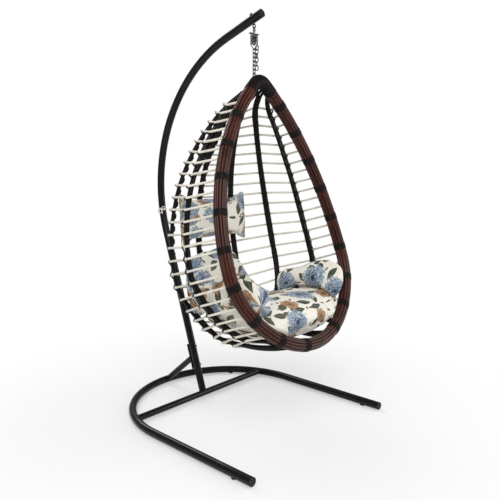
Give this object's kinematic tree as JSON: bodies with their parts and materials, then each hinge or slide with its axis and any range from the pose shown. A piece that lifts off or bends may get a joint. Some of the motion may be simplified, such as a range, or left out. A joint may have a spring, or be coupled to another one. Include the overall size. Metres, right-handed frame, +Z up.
{
  "type": "hanging swing chair",
  "caption": "Teardrop basket chair of bundled canes, black rods and pale cords with floral cushions, hung by a sprung chain from a curved tube stand.",
  "frame": {"origin": "on the floor under the middle of the whole chair's box", "axes": "+Z up, the chair faces -Y, +X is to the sitter's left"},
  "size_m": [1.001, 1.1379, 1.927],
  "materials": {
    "stand_paint": "gloss",
    "end_plug": "satin",
    "glide_rubber": "matte",
    "fastener_steel": "satin",
    "hanger_steel": "satin",
    "core_steel": "matte",
    "cane": "gloss",
    "binding": "satin",
    "rib_paint": "satin",
    "cord": "matte",
    "cushion_print": "matte"
  },
  "bodies": {
    "stand": {"base_hoop": "stand_paint", "brace": "stand_paint", "brace_plate": "stand_paint", "crossbar": "stand_paint", "eye_bolt": "fastener_steel", "eye_nut_bottom": "fastener_steel", "eye_nut_top": "fastener_steel", "eye_washer": "fastener_steel", "glide_front_left": "glide_rubber", "glide_front_right": "glide_rubber", "glide_rear_left": "glide_rubber", "glide_rear_right": "glide_rubber", "leg_cap_left": "end_plug", "leg_cap_right": "end_plug", "mast": "stand_paint", "mast_cap": "end_plug", "mast_tie": "cord", "plate_bolt_lower": "fastener_steel", "plate_bolt_upper": "fastener_steel", "plate_nut_lower": "fastener_steel", "plate_nut_upper": "fastener_steel"},
    "link": {"hanger_link": "hanger_steel"},
    "hanger": {"hanger_rod": "hanger_steel", "spring_seat": "hanger_steel", "seat_nut": "hanger_steel", "spring": "hanger_steel"},
    "bail": {"bail": "hanger_steel", "spring_cap": "hanger_steel", "load_chain": "hanger_steel"},
    "tail": {"chain_tail": "hanger_steel"},
    "basket": {"apex_binding": "binding", "apex_staple": "hanger_steel", "back_cushion": "cushion_print", "cords_back": "cord", "cords_front_left": "cord", "cords_front_right": "cord", "cords_rear_left": "cord", "cords_rear_right": "cord", "cords_side_left": "cord", "cords_side_right": "cord", "head_pillow": "cushion_print", "rib_back_left": "rib_paint", "rib_back_right": "rib_paint", "rib_corner_left": "rib_paint", "rib_corner_right": "rib_paint", "rib_side_left": "rib_paint", "rib_side_right": "rib_paint", "rim_bindings_left": "binding", "rim_bindings_right": "binding", "rim_canes_left": "cane", "rim_canes_right": "cane", "rim_core_left": "core_steel", "rim_core_right": "core_steel", "seat_cushion": "cushion_print", "side_cushion_left": "cushion_print", "side_cushion_right": "cushion_print"}
  },
  "joints": [
    {"name": "swing", "type": "hinge", "parent": "stand", "child": "link", "pos_m": [0, -0.14047, 1.85571], "axis": [1, 0, 0], "range_deg": [-20, 10]},
    {"name": "sway", "type": "hinge", "parent": "link", "child": "hanger", "pos_m": [0, -0.14047, 1.84381], "axis": [0, 1, 0], "range_deg": [-8, 8]},
    {"name": "bounce", "type": "slide", "parent": "hanger", "child": "bail", "axis": [0, 0, 1], "range_m": [-0.012, 0.002], "stiffness_N_per_m": 12000, "springref_m": 0.0288, "deforming": ["spring"]},
    {"name": "twist", "type": "hinge", "parent": "bail", "child": "basket", "pos_m": [0, -0.14047, 1.63681], "axis": [0, 0, 1], "range_deg": [-25, 25]},
    {"name": "tail_swing", "type": "hinge", "parent": "bail", "child": "tail", "pos_m": [0.018, -0.14047, 1.77152], "axis": [1, 0, 0], "range_deg": [-12, 12]}
  ]
}
